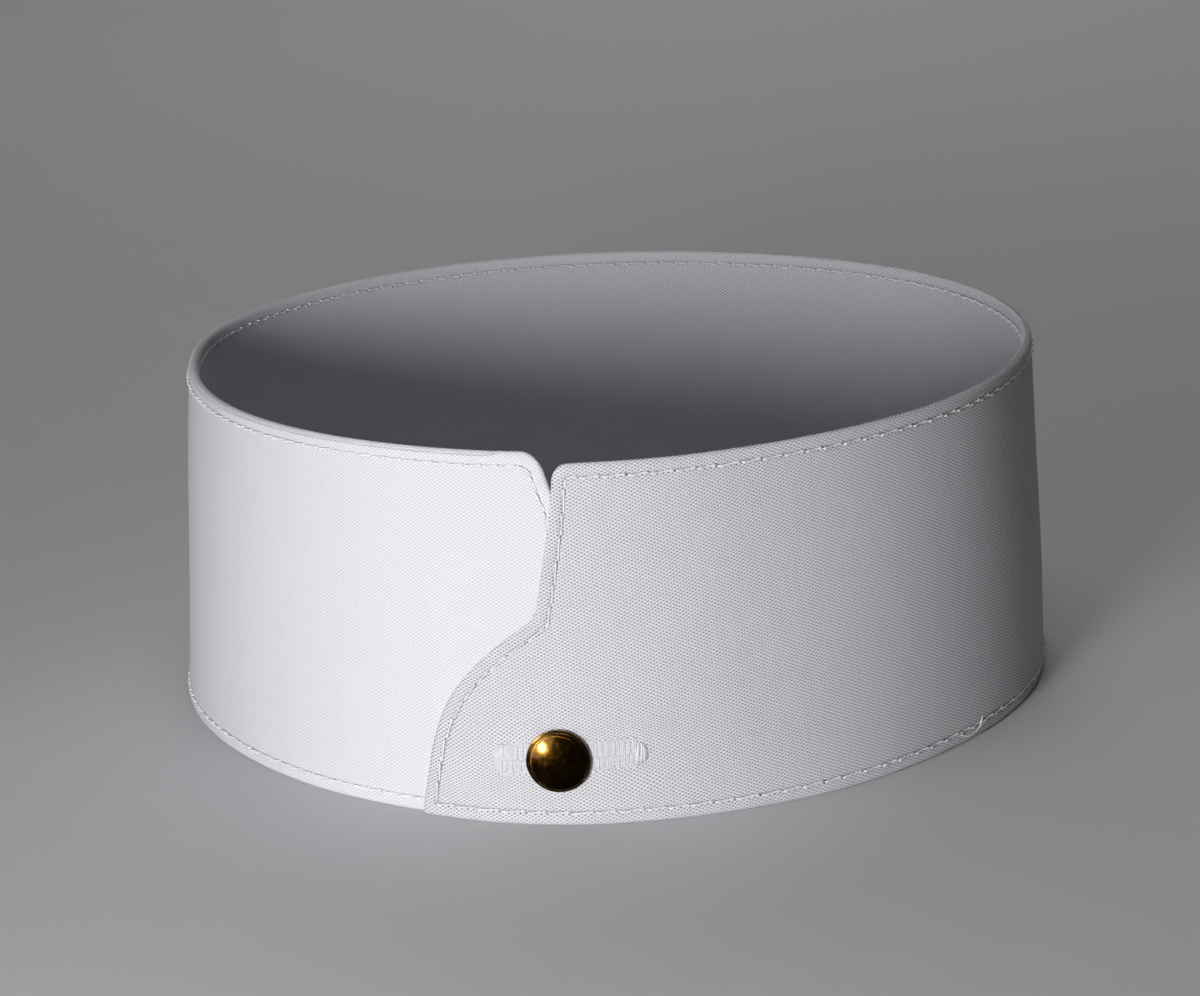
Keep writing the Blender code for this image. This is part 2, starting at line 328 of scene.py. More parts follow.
def shown_face(side):
    """Arc length, height and depth of the shown face's points, their distance from the
    outline, and which lie on its lip. The depth follows the round rim, a quarter circle
    of that distance, and the relief; side is 1 outside and -1 inside."""
    arc, height = band_net(face_rows, edge_inset)
    lip = np.zeros(arc.shape, dtype=bool)
    lip[0, :] = lip[-1, :] = True
    lip[:, 0] = lip[:, -1] = True
    distance = edge_distance(arc.ravel(), height.ravel()).reshape(arc.shape)
    inside = np.clip(distance, LIP_GAP, EDGE_RADIUS)
    depth = EDGE_RADIUS - np.sqrt(EDGE_RADIUS ** 2 - (EDGE_RADIUS - inside) ** 2)
    depth = np.where(lip, EDGE_RADIUS - LIP_GAP, depth + face_relief(distance, arc))
    if side < 0:
        depth = WALL - depth
    moved, rolled_height, rolled_depth = rolled_rim(arc, height, lip, side)
    height = np.where(moved, rolled_height, height)
    depth = np.where(moved, rolled_depth, depth)
    return arc, height, depth, distance, lip


def slit_columns(arc):
    """Which gaps between columns lie within a slit, by the distance of their middle
    from centre front or from centre back."""
    from_front = np.where(arc < RING_LENGTH / 2.0, arc, RING_LENGTH - arc)
    front = (from_front[HOLE_ROW, :-1] + from_front[HOLE_ROW, 1:]) / 2.0
    back = (arc[HOLE_ROW, :-1] + arc[HOLE_ROW, 1:]) / 2.0 - RING_LENGTH / 2.0
    return ((front > FRONT_SLIT[0]) & (front < FRONT_SLIT[1])
            | (back > BACK_SLIT[0]) & (back < BACK_SLIT[1]))


def slit_walls(index, slit, shift):
    """Faces that close the cloth round each slit: they join the shown net to the hidden
    one, whose numbers are higher by shift, along its two sides and its two ends."""
    at = np.nonzero(slit)[0]
    below = index[HOLE_ROW, at]
    above = index[HOLE_ROW + 1, at]
    apart = np.diff(at) > 1
    left = index[HOLE_ROW, at[np.concatenate([[True], apart])]]
    right = index[HOLE_ROW, at[np.concatenate([apart, [True]])] + 1]
    row = index.shape[1]
    return [np.stack([below + 1, below, below + shift, below + 1 + shift], axis=1),
            np.stack([above, above + 1, above + 1 + shift, above + shift], axis=1),
            np.stack([left, left + row, left + row + shift, left + shift], axis=1),
            np.stack([right + row, right, right + shift, right + row + shift], axis=1)]


def ply_mesh(name, side):
    """A closed shell of one ply: its shown face and its hidden face, flat against the
    other ply, are two like nets that share the lip. The slits are left out of both
    and their walls closed."""
    arc, height, depth, distance, lip = shown_face(side)
    shown = band_point(arc, open_holes(arc, height), depth)
    hidden_arc, hidden_height = band_net(hidden_rows, hidden_inset)
    hidden_depth = np.full(hidden_arc.shape, EDGE_RADIUS - side * HIDDEN_GAP)
    hidden = band_point(hidden_arc, open_holes(hidden_arc, hidden_height), hidden_depth)
    hidden[lip] = shown[lip]
    rows, columns = arc.shape
    shift = rows * columns
    index = np.arange(shift).reshape(rows, columns)
    slit = slit_columns(arc)
    keep = np.ones((rows - 1, columns - 1), dtype=bool)
    keep[HOLE_ROW, slit] = False
    low = index[:-1, :-1][keep]
    front = np.stack([low, low + 1, low + columns + 1, low + columns], axis=1)
    back = (front + shift)[:, ::-1]
    merged = np.arange(2 * shift)
    merged[shift:][lip.ravel()] = index[lip]
    faces = merged[np.concatenate([front, back] + slit_walls(index, slit, shift))]
    if side < 0:
        faces = faces[:, ::-1]
    used, faces = np.unique(faces, return_inverse=True)
    faces = faces.reshape(-1, 4)
    vertices = np.concatenate([shown.reshape(-1, 3), hidden.reshape(-1, 3)])[used]
    cloth_arc = np.concatenate([arc.ravel(), hidden_arc.ravel()])[used]
    cloth_height = np.concatenate([height.ravel(), hidden_height.ravel()])[used]
    from_edge = np.concatenate([distance.ravel(), distance.ravel()])[used]
    piece = mesh_piece(name, vertices, faces, grain_map(cloth_arc, cloth_height))
    # painted shade: each point's painted lightness, lower over the over half, on its shaped edge's hem and
    # in the stitch groove
    painted_lightness = piece.data.attributes.new("painted_lightness", "FLOAT", "POINT")
    painted_lightness.data.foreach_set("value", painted_lightness_of(cloth_arc, cloth_height, from_edge).astype(np.float32))
    return piece


# How light the cloth is painted, where lower is painted shade, and how the weave lies on it.
OVER_HALF_PAINTED_LIGHTNESS = 0.30
HEM_WIDTH = 2.2
# painted shade darkens the over end's hem by this share
HEM_PAINTED_SHADE = 0.35
# width of the painted shade along the stitch groove
GROOVE_SHADE_WIDTH = 0.24
GRAIN_TURN = math.radians(3.0)
GRAIN_CHANGE = math.radians(1.0)


def painted_lightness_of(arc, height, from_edge):
    """How light the cloth is painted, lower values being painted shade: 1 round the under half
    and less over the other, with a soft step at the back; less again on the turned hem of the
    over end's shaped edge, and least in the bell-shaped groove along the stitches."""
    # painted shade: lower over the over half of the band, rising round the back
    half = OVER_HALF_PAINTED_LIGHTNESS + (1.0 - OVER_HALF_PAINTED_LIGHTNESS) * smooth_step(
        (arc - 0.35 * RING_LENGTH) / (0.3 * RING_LENGTH))
    # painted shade on the turned hem along the over end's shaped edge
    shaped = (arc < 40.0) & (height > HEM_WIDTH) & (height < HEIGHT - HEM_WIDTH)
    hem = shaped * (1.0 - smooth_step((from_edge - STITCH_INSET + 0.3) / 0.6))
    # painted shade in the groove along the stitches
    groove = np.exp(-((from_edge - STITCH_INSET) / GROOVE_SHADE_WIDTH) ** 2)
    return half * (1.0 - HEM_PAINTED_SHADE * hem) - (1.0 - half) * groove


def grain_map(arc, height):
    """Threads' place on the cloth in millimetres: the weave is turned by an angle that
    grows as a cosine from the under end to the over end, so the crosswise place is that
    angle added up along it. Round the rims it follows the quarter circle's arc, not its
    height."""
    inset = np.clip(np.minimum(height, HEIGHT - height) / EDGE_RADIUS, 0.0, 1.0)
    gained = EDGE_RADIUS * (math.pi / 2.0 - np.arccos(1.0 - inset) - (1.0 - inset))
    height = height + np.sign(height - HEIGHT / 2.0) * gained
    share = math.pi * arc / RING_LENGTH
    turn = GRAIN_TURN + GRAIN_CHANGE * np.cos(share)
    across = GRAIN_TURN * arc + GRAIN_CHANGE * RING_LENGTH / math.pi * np.sin(share)
    return np.stack([arc + height * turn, height - across], axis=1)


def mesh_piece(name, vertices, faces, place):
    """A smooth-shaded mesh object at the world's origin, from whole arrays, with the
    place of each vertex on its cloth or thread kept in millimetres as a UV map."""
    faces = np.asarray(faces, dtype=np.int32)
    vertices = np.asarray(vertices, dtype=np.float32)
    mesh = bpy.data.meshes.new(name)
    mesh.vertices.add(len(vertices))
    mesh.vertices.foreach_set("co", vertices.ravel())
    mesh.loops.add(faces.size)
    mesh.loops.foreach_set("vertex_index", faces.ravel())
    mesh.polygons.add(len(faces))
    mesh.polygons.foreach_set("loop_start", np.arange(0, faces.size, faces.shape[1],
                                                      dtype=np.int32))
    mesh.polygons.foreach_set("use_smooth", np.ones(len(faces), dtype=bool))
    mesh.update(calc_edges=True)
    layer = mesh.uv_layers.new(name="place_mm")
    layer.data.foreach_set("uv", np.asarray(place, dtype=np.float32)[faces.ravel()].ravel())
    mesh.validate()
    piece = bpy.data.objects.new(name, mesh)
    bpy.context.scene.collection.objects.link(piece)
    return piece


def linear(colour):
    """A linear colour from an sRGB hex one."""
    values = np.array([int(colour[i:i + 2], 16) for i in (1, 3, 5)]) / 255.0
    linear_values = np.where(values <= 0.04045, values / 12.92, ((values + 0.055) / 1.055) ** 2.4)
    return (*[float(v) for v in linear_values], 1.0)


def add_node(material, kind, inputs=None, **settings):
    """A node of a kind with its settings. Each input, named or numbered, is a value, a
    socket or a node, which stands for its first output."""
    node = material.node_tree.nodes.new(kind)
    for key, value in settings.items():
        setattr(node, key, value)
    for key, value in (inputs or {}).items():
        if isinstance(value, bpy.types.Node):
            value = value.outputs[0]
        if isinstance(value, bpy.types.NodeSocket):
            material.node_tree.links.new(value, node.inputs[key])
        else:
            node.inputs[key].default_value = value
    return node


def new_material(name, roughness, colour, **sockets):
    """A Principled material; the sockets' names are written with underscores."""
    material = bpy.data.materials.new(name)
    material.use_nodes = True
    shader = material.node_tree.nodes["Principled BSDF"]
    shader.inputs["Base Color"].default_value = linear(colour)
    shader.inputs["Roughness"].default_value = roughness
    for key, value in sockets.items():
        shader.inputs[key.replace("_", " ")].default_value = value
    return material, shader


# The cloth: distance between threads, each in millimetres, and the yarn's unevenness
# as blotches one thread wide and about 11 mm long, given for each millimetre.
WARP_SPACING = 0.42
WEFT_SPACING = 0.25
UNEVEN_WARP = (2.4, 0.09, 1.0)
UNEVEN_WEFT = (0.09, 4.0, 1.0)
WANDER = (0.22, 0.16, 0.0)     # threads wander from straight by up to this much


def starched_cotton(name, shaded_tones, lit_tones):
    """Plain-woven cotton, starched and ironed: matt, each crossing a small dome as the
    product of two sines, with painted shade where the upper thread dips and at the pinholes
    where four threads part, and a painted highlight on the crowns. The painted lightness picks
    between the shaded and the lit tones, and where it is high the domes are also flatter. The tones are of
    the hollows, the cloth and the crowns."""
    material, shader = new_material(name, 0.86, lit_tones[1], Specular_IOR_Level=0.25,
                                    Sheen_Weight=0.08, Sheen_Roughness=0.4)
    links = material.node_tree.links
    place = add_node(material, "ShaderNodeUVMap", uv_map="place_mm")
    drift = add_node(material, "ShaderNodeTexNoise", {"Vector": place, "Scale": 0.35, "Detail": 2.0},
                     noise_dimensions="2D")
    moved = add_node(material, "ShaderNodeVectorMath", {0: drift.outputs["Color"], 1: WANDER},
                     operation="MULTIPLY")
    thread = add_node(material, "ShaderNodeVectorMath", {0: place, 1: moved}, operation="ADD")
    parts = add_node(material, "ShaderNodeSeparateXYZ", {0: thread})
    waves = []
    for part, spacing in ((parts.outputs[0], WARP_SPACING), (parts.outputs[1], WEFT_SPACING)):
        turn = add_node(material, "ShaderNodeMath", {0: part, 1: math.pi / spacing},
                        operation="MULTIPLY")
        waves.append(add_node(material, "ShaderNodeMath", {0: turn}, operation="SINE"))
    crossing = add_node(material, "ShaderNodeMath", {0: waves[0], 1: waves[1]}, operation="MULTIPLY")
    over = add_node(material, "ShaderNodeMath", {0: crossing, 1: 0.0}, operation="MAXIMUM")
    under = add_node(material, "ShaderNodeMath", {0: crossing, 1: 0.0}, operation="MINIMUM")
    dome = add_node(material, "ShaderNodeMath", {0: crossing}, operation="ABSOLUTE")
    # pinholes, where both threads are far from their crowns, painted darker as shade
    parted = []
    for wave in waves:
        size = add_node(material, "ShaderNodeMath", {0: wave}, operation="ABSOLUTE")
        parted.append(add_node(material, "ShaderNodeMath", {0: 1.0, 1: size}, operation="SUBTRACT"))
    pinhole = add_node(material, "ShaderNodeMath", {0: parted[0], 1: parted[1]}, operation="MULTIPLY")
    # uneven yarn, along the warp and along the weft
    yarns = []
    for stretch in (UNEVEN_WARP, UNEVEN_WEFT):
        drawn = add_node(material, "ShaderNodeVectorMath", {0: place, 1: stretch}, operation="MULTIPLY")
        yarns.append(add_node(material, "ShaderNodeTexNoise", {"Vector": drawn, "Scale": 1.0},
                              noise_dimensions="2D"))
    both = add_node(material, "ShaderNodeMath", {0: yarns[0], 1: yarns[1]}, operation="ADD")
    uneven = add_node(material, "ShaderNodeMath", {0: both, 1: 0.5}, operation="MULTIPLY")
    # tone: a painted highlight on the crowns, uneven yarn, less painted shade in the hollows and pinholes
    dip = add_node(material, "ShaderNodeMath", {0: under, 1: under}, operation="MULTIPLY")
    holes = add_node(material, "ShaderNodeMath", {0: pinhole, 1: 0.22}, operation="MULTIPLY")
    painted_hollow_shade = add_node(material, "ShaderNodeMath", {0: dip, 1: 0.94, 2: holes}, operation="MULTIPLY_ADD")
    plain = add_node(material, "ShaderNodeMath", {0: uneven, 1: 0.18, 2: 0.34},
                     operation="MULTIPLY_ADD")
    crowned = add_node(material, "ShaderNodeMath", {0: over, 1: 0.25, 2: plain},
                       operation="MULTIPLY_ADD")
    tone = add_node(material, "ShaderNodeMath", {0: crowned, 1: painted_hollow_shade}, operation="SUBTRACT")
    shades = []
    for tones in (shaded_tones, lit_tones):
        ramp = add_node(material, "ShaderNodeValToRGB", {0: tone})
        ramp.color_ramp.elements.new(0.32)
        for element, level, colour in zip(ramp.color_ramp.elements, (0.0, 0.32, 0.75), tones):
            element.position = level
            element.color = linear(colour)
        shades.append(ramp.outputs[0])
    # painted shade: the painted lightness mixes the shaded and the lit tones
    painted_lightness = add_node(material, "ShaderNodeAttribute", attribute_name="painted_lightness").outputs["Fac"]
    shade = add_node(material, "ShaderNodeMix", {0: painted_lightness, 6: shades[0], 7: shades[1]},
                     data_type="RGBA")
    links.new(shade.outputs[2], shader.inputs["Base Color"])
    # relief: every dome, the warp's crowns highest, and the uneven yarn
    crowns = add_node(material, "ShaderNodeMath", {0: over, 1: 0.6}, operation="MULTIPLY")
    domes = add_node(material, "ShaderNodeMath", {0: dome, 1: 0.5, 2: crowns},
                     operation="MULTIPLY_ADD")
    relief = add_node(material, "ShaderNodeMath", {0: uneven, 1: 0.12, 2: domes},
                      operation="MULTIPLY_ADD")
    flatter = add_node(material, "ShaderNodeMath", {0: painted_lightness, 1: -0.60, 2: 0.95},
                       operation="MULTIPLY_ADD")
    bump = add_node(material, "ShaderNodeBump", {"Height": relief, "Strength": flatter,
                                                 "Distance": 0.06 * MM})
    links.new(bump.outputs[0], shader.inputs["Normal"])
    return material


# the first tones are the shaded ones, for painted shade, the second the lit ones
outer_cotton = starched_cotton("outer_starched_cotton", ("#4C4C56", "#D7D7DB", "#F0F0F3"),
                               ("#C9C9D1", "#E2E2E7", "#EDEDF1"))
outer_ply = ply_mesh("outer_ply", 1)
outer_ply.data.materials.append(outer_cotton)
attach(outer_ply, "root")
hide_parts("collar_outer_ply")


# Inner ply: the same cotton cut to the same shape, set back to back with the outer ply.
# Along the top of the under end it is rolled over to the outside.

# the first tones are the shaded ones, for painted shade, the second the lit ones
inner_cotton = starched_cotton("inner_starched_cotton", ("#84848C", "#C8C8CC", "#E2E2E6"),
                               ("#C0C0C8", "#DCDCE1", "#E8E8EC"))
inner_ply = ply_mesh("inner_ply", -1)
inner_ply.data.materials.append(inner_cotton)
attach(inner_ply, "root")
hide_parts("collar_inner_ply")


# Lockstitching: fine white two-ply cotton thread, 1.9 mm inside the whole outline, on
# both faces. It is pulled tight, so that the stitches lie sunk in a groove.

THREAD_RADIUS = 0.10
TWIST_LENGTH = 0.33
STITCH_PITCH = 2.5         # and this much longer at the over end
PITCH_CHANGE = 0.75
STITCH_SLANT = 0.26
STITCH_SIDES = 6
TAIL_RADIUS = 0.085


def outline_loop():
    """The cloth's outline as a closed line of arc lengths and heights, one way round."""
    over = np.stack([-end_reach(end_heights), end_heights], axis=1)
    under = np.stack([RING_LENGTH + end_reach(end_heights, True), end_heights], axis=1)[::-1]
    top = np.stack([np.linspace(over[-1, 0], under[0, 0], 1500), np.full(1500, HEIGHT)], axis=1)
    bottom = np.stack([np.linspace(under[-1, 0], over[0, 0], 1500), np.zeros(1500)], axis=1)
    return np.concatenate([over, top[1:-1], under, bottom[1:-1]])


def parallel_line(inset):
    """The line at an inset from the outline: each point moved square to the outline,
    and dropped where some other part of the outline is nearer than that."""
    loop = outline_loop()
    step = np.roll(loop, -1, axis=0) - np.roll(loop, 1, axis=0)
    step = step / np.hypot(step[:, 0], step[:, 1])[:, None]
    moved = loop + inset * np.stack([step[:, 1], -step[:, 0]], axis=1)
    clear = edge_distance(moved[:, 0].copy(), moved[:, 1].copy()) > inset - 0.03
    inside = (moved[:, 1] > 0.0) & (moved[:, 1] < HEIGHT)
    return moved[clear & inside]


def tube_set(centres, radii, sides, normals):
    """Many closed tubes at once. centres are tubes x rings x 3, radii tubes x rings;
    each ring is a circle square to its tube's run, from a normal and a cross product."""
    run = np.gradient(centres, axis=1)
    run = run / np.maximum(np.linalg.norm(run, axis=2, keepdims=True), 1e-9)
    across = np.cross(run, normals)
    across = across / np.maximum(np.linalg.norm(across, axis=2, keepdims=True), 1e-9)
    up = np.cross(across, run)
    turn = np.linspace(0.0, 2.0 * math.pi, sides, endpoint=False)
    ring = (across[:, :, None, :] * np.cos(turn)[None, None, :, None]
            + up[:, :, None, :] * np.sin(turn)[None, None, :, None])
    points = centres[:, :, None, :] + ring * radii[:, :, None, None]
    count, rings = centres.shape[:2]
    index = np.arange(count * rings * sides).reshape(count, rings, sides)
    following = np.roll(index, -1, axis=2)
    faces = np.stack([index[:, :-1], following[:, :-1], following[:, 1:], index[:, 1:]], axis=-1)
    faces = faces.reshape(-1, 4)
    length = np.concatenate([np.zeros((count, 1)), np.cumsum(
        np.linalg.norm(np.diff(centres, axis=1), axis=2), axis=1)], axis=1) / MM
    place = np.stack(np.broadcast_arrays(length[:, :, None], np.arange(sides)[None, None, :] / sides),
                     axis=-1).reshape(-1, 2)
    ends = []
    for first, order in ((0, slice(None, None, -1)), (rings - 1, slice(None))):
        cap = index[:, first, order]
        for corner in range(1, sides - 2, 2):
            ends.append(np.stack([cap[:, 0], cap[:, corner], cap[:, corner + 1],
                                  cap[:, corner + 2]], axis=1))
    return points.reshape(-1, 3), np.concatenate([faces] + ends), place


def along_line(line, places):
    """Points of a line at given distances along it."""
    distance = np.concatenate([[0.0], np.cumsum(np.hypot(*np.diff(line, axis=0).T))])
    return np.stack([np.interp(places, distance, line[:, 0]),
                     np.interp(places, distance, line[:, 1])], axis=-1)


def outward_normals(arc):
    """The band's outward normal at arc lengths: square to a short step along its curve,
    about half way up."""
    step = band_point(arc + 0.05, np.full_like(arc, 25.0), 0.0) - band_point(
        arc - 0.05, np.full_like(arc, 25.0), 0.0)
    normal = np.stack([step[..., 1], -step[..., 0], np.zeros_like(arc)], axis=-1)
    return normal / np.linalg.norm(normal, axis=-1, keepdims=True)


def stitch_line(name, side):
    """Stitches all round the parallel line, on one face, as thin tubes. The pitch is
    even round the under half and widens as a cosine to the over end. Each stitch dives
    into the cloth at its ends, just inside which it stands up as a small bead."""
    line = parallel_line(STITCH_INSET)
    line = np.concatenate([line, line[:1]])
    total = float(np.hypot(*np.diff(line, axis=0).T).sum())
    fine = np.linspace(0.0, total, 8000)
    arc_there = along_line(line, fine)[:, 0]
    half_turn = math.pi * np.clip(arc_there / RING_LENGTH, 0.0, 1.0)
    pitch = STITCH_PITCH + PITCH_CHANGE * np.cos(half_turn).clip(0.0)
    progress = np.concatenate([[0.0], np.cumsum(np.diff(fine) / ((pitch[1:] + pitch[:-1]) / 2.0))])
    count = int(progress[-1])
    progress = progress * count / progress[-1]
    number = np.arange(count)
    wander = 0.06 * np.sin(number * 2.4) + 0.05 * np.sin(number * 5.1 + 1.0)
    start = np.interp(number + wander, progress, fine)
    stop = np.interp(number + 1.0 + np.roll(wander, -1), progress, fine)
    # a stitch's rings: share of its length, height over the cloth, and thickness
    share = np.array([0.06, 0.08, 0.13, 0.24, 0.5, 0.76, 0.87, 0.92, 0.94])
    height = np.array([-0.30, 0.02, 0.16, 0.03, -0.03, 0.03, 0.16, 0.02, -0.30])
    radius = np.array([0.3, 1.5, 2.2, 1.4, 1.1, 1.4, 2.2, 1.5, 0.3]) * THREAD_RADIUS
    places = start[:, None] + (stop - start)[:, None] * share[None, :]
    spot = along_line(line, places.ravel()).reshape(count, len(share), 2)
    step = spot[:, -1] - spot[:, 0]
    step = step / np.hypot(step[:, 0], step[:, 1])[:, None]
    square = np.stack([-step[:, 1], step[:, 0]], axis=-1)
    spot = spot + square[:, None, :] * (STITCH_SLANT * (share - 0.5))[None, :, None]
    rise = np.broadcast_to(height[None, :], places.shape)
    depth = -rise if side > 0 else WALL + rise
    arc = spot[:, :, 0]
    centres = band_point(arc, spot[:, :, 1], depth)
    normals = outward_normals(arc) * side
    radii = np.broadcast_to(radius[None, :] * MM, places.shape)
    points, faces, place = tube_set(centres, radii, STITCH_SIDES, normals)
    return mesh_piece(name, points, faces, place)


def sewing_thread(name, colour):
    """Two-ply cotton thread: smoother and brighter than the cloth, with its twist as a
    slanting ridge at every turn, a sine of the places along and round it."""
    material, shader = new_material(name, 0.55, colour, Specular_IOR_Level=0.45,
                                    Sheen_Weight=0.2)
    place = add_node(material, "ShaderNodeUVMap", uv_map="place_mm")
    parts = add_node(material, "ShaderNodeSeparateXYZ", {0: place})
    along = add_node(material, "ShaderNodeMath", {0: parts, 1: 2.0 * math.pi / TWIST_LENGTH},
                     operation="MULTIPLY")
    turn = add_node(material, "ShaderNodeMath", {0: parts.outputs[1], 1: 2.0 * math.pi, 2: along},
                    operation="MULTIPLY_ADD")
    ridge = add_node(material, "ShaderNodeMath", {0: turn}, operation="SINE")
    bump = add_node(material, "ShaderNodeBump", {"Height": ridge, "Strength": 0.35,
                                                 "Distance": 0.03 * MM})
    material.node_tree.links.new(bump.outputs[0], shader.inputs["Normal"])
    return material


thread = sewing_thread("white_sewing_thread", "#F2F2F5")
outer_stitches = stitch_line("outer_lockstitch", 1)
inner_stitches = stitch_line("inner_lockstitch", -1)


def loose_end():
    """The tail left where the seam was finished: one tube along a short curl of sines
    that leaves the groove near the bottom edge and stands off the cloth."""
    turn = np.linspace(0.0, 1.0, 13)
    arc = 63.4 + 4.4 * turn - 0.5 * np.sin(2.0 * math.pi * turn)
    height = STITCH_INSET - 0.9 * np.sin(math.pi * turn) + 1.3 * turn ** 3
    lift = -0.15 + 0.95 * np.sin(0.5 * math.pi * turn)
    centres = band_point(arc, height, -lift)[None, :, :]
    radii = np.full((1, len(turn)), TAIL_RADIUS * MM)
    points, faces, place = tube_set(centres, radii, STITCH_SIDES, outward_normals(arc)[None, :, :])
    return mesh_piece("loose_thread_end", points, faces, place)


tail = loose_end()
tail.data.materials.append(thread)
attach(tail, "root")
for stitches, cloth in ((outer_stitches, "cotton_outer"), (inner_stitches, "cotton_inner")):
    stitches.data.materials.append(thread)
    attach(stitches, "root")


# Buttonholes: each slit is worked round in thicker cotton twist, with satin stitches
# laid side by side, small knots along the slit and the outer borders, and a bar tack
# across each end.

SATIN_PITCH = 0.20
SATIN_RADIUS = 0.14
BORDER_KNOTS = (0.56, 0.185, 0.07)     # pitch, radius, and how far they stand up
SLIT_KNOTS = (0.43, 0.15, 0.17)
SLIT_MARGIN = 0.30
FRONT_BORDERS = (2.2, 1.75)            # the stitches' reach above and below the slit
BACK_BORDERS = (1.9, 1.9)
TACK_THREADS = 6

# Each stitch is a tube through these shares of its length, as plump as this there.
stitch_share = np.array([0.0, 0.05, 0.14, 0.28, 0.48, 0.68, 0.86, 0.95, 1.0])
stitch_plump = np.array([0.3, 0.8, 1.0, 1.0, 1.0, 1.0, 1.0, 0.8, 0.3])
satin_lift = np.array([-0.30, -0.02, 0.12, 0.10, 0.02, 0.0, 0.03, -0.02, -0.2])


def both_sides(row, shift, borders):
    """Places of two like rows, above and below the slit, the lower one shifted along;
    with each stitch's number, 1 or -1 for its side, and its side's border."""
    along = np.concatenate([row, row + shift])
    number = np.arange(len(along))
    upward = np.where(number < len(row), 1.0, -1.0)
    return along, number, upward, np.where(upward > 0, borders[0], borders[1])


def satin_stitches(slit, opening, borders):
    """Thin stitches from the slit to its borders, square to it: straight, with sines of
    their number for their uneven reach, sway, height and girth."""
    row = np.arange(slit[0] - 0.5, slit[1] + 0.5, SATIN_PITCH)
    along, number, upward, reach = both_sides(row, 0.11, borders)
    reach = reach + 0.12 * np.sin(number * 2.3)
    reach = reach + 0.08 * np.sin(number * 5.7)
    up = upward[:, None] * (opening(along)[:, None] - 0.10 + (reach[:, None] + 0.10) * stitch_share)
    sway = 0.16 * np.sin(number * 3.1)[:, None] * stitch_share
    sway = sway + 0.08 * np.sin(number * 1.3)[:, None]
    lift = satin_lift + 0.02 * np.sin(number * 4.1)[:, None]
    girth = stitch_plump * (SATIN_RADIUS + 0.02 * np.sin(number * 1.7))[:, None]
    return along[:, None] + sway, up, lift, girth


def knots(slit, opening, borders, at_border, size):
    """Short plump stitches along the slit, end to end at a pitch, half a pitch apart on
    its two sides: on the outer borders or beside the slit. Each is an arch, a parabola,
    and sines of its number turn, move and swell it."""
    pitch, radius, raised = size
    row = np.arange(slit[0] - 0.4, slit[1] + 0.4, pitch)
    along, number, upward, border = both_sides(row, pitch / 2.0, borders)
    off = border + opening(along) if at_border else opening(along) + SLIT_MARGIN
    off = off + 0.09 * np.sin(number * 2.9)
    slope = 0.14 * np.sin(number * 4.7)[:, None] * (stitch_share - 0.5)
    up = upward[:, None] * off[:, None] + slope
    place = along[:, None] + (stitch_share - 0.5) * pitch * 0.85
    lift = np.zeros((len(number), 1)) + raised - 0.16 * (2.0 * stitch_share - 1.0) ** 2
    girth = stitch_plump * (radius + 0.03 * np.sin(number * 3.3))[:, None]
    return place, up, lift, girth


def bar_tacks(slit):
    """Threads across both ends of the slit: a flat bar at the near end, and at the far
    end thicker ones that pile up to a round knob, as parabolas of their number. Each
    is bent down at its ends as a fourth power, and sways as a sine."""
    bar = np.arange(TACK_THREADS)
    flat = np.ones(TACK_THREADS)
    centre = np.concatenate([slit[0] - 1.05 + 0.20 * bar, slit[1] + 0.55 + 0.34 * bar])
    half = np.concatenate([1.35 * flat, 1.45 - 0.16 * (bar - 2.0) ** 2])
    height = np.concatenate([0.02 * flat, 0.30 - 0.06 * (bar - 2.3) ** 2])
    radius = np.concatenate([0.15 * flat, 0.24 * flat])
    up = half[:, None] * (2.0 * stitch_share - 1.0) + 0.14
    lift = height[:, None] - 0.22 * (2.0 * stitch_share - 1.0) ** 4
    place = centre[:, None] + 0.12 * np.sin(3.0 * stitch_share + centre[:, None] * 5.0)
    return place, up, lift, stitch_plump * radius[:, None]


def buttonhole(name, middle, side, front):
    """All stitches of one buttonhole on one face of the cloth, round the slit at a middle
    arc length. The front ones rise along the slit and stand back from the stud's post,
    and inside, the under end's runs the other way."""
    slit = FRONT_SLIT if front else BACK_SLIT
    borders = FRONT_BORDERS if front else BACK_BORDERS
    tilt = HOLE_TILT if front else 0.0
    opening = post_opening if front else np.zeros_like
    sets = [satin_stitches(slit, opening, borders),
            knots(slit, opening, borders, True, BORDER_KNOTS),
            knots(slit, opening, borders, False, SLIT_KNOTS),
            bar_tacks(slit)]
    along, up, lift, girth = (np.concatenate(parts) for parts in zip(*sets))
    arc = middle + (1.0 if side > 0 or not front else -1.0) * along
    height = STUD_HEIGHT + up + tilt * along
    depth = -lift if side > 0 else WALL + lift
    centres = band_point(arc, height, depth)
    points, faces, place = tube_set(centres, girth * MM, STITCH_SIDES, outward_normals(arc) * side)
    return mesh_piece(name, points, faces, place)


hole_thread = sewing_thread("buttonhole_twist", "#E0E0E5")
holes = [
    buttonhole("front_buttonhole", 0.0, 1, True),
    buttonhole("under_end_buttonhole", RING_LENGTH, -1, True),
    buttonhole("back_buttonhole", RING_LENGTH / 2.0, 1, False),
    buttonhole("back_buttonhole_inside", RING_LENGTH / 2.0, -1, False),
]
for hole, cloth in zip(holes, ("cotton_outer", "cotton_inner", "cotton_outer", "cotton_inner")):
    hole.data.materials.append(hole_thread)
    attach(hole, "root")


# Collar stud: a shallow domed cap pressed from brass and polished, with a fluted ring
# and a rolled bead at its edge. Its post goes through both ends of the band to a flat
# round base behind.

DOME_RADIUS = 3.58
DOME_RISE = 0.74
FLUTES = 84
FLUTE_DEPTH = 0.02
BEAD_CENTRE = 4.25
BEAD_RADIUS = 0.20
POST_RADIUS = 1.1
BASE_RADIUS = 6.2
BASE_EDGE = 0.45           # the base plate's edge is half round, of this radius
CAP_FACE = OVER_FACE + 0.40
BASE_TOP = -3.0
POLE = 0.0005              # the innermost ring, closed by a weld
STUD_TILT = math.atan((1.0 - TOP_SHARE) * FRONT_RADIUS / HEIGHT)


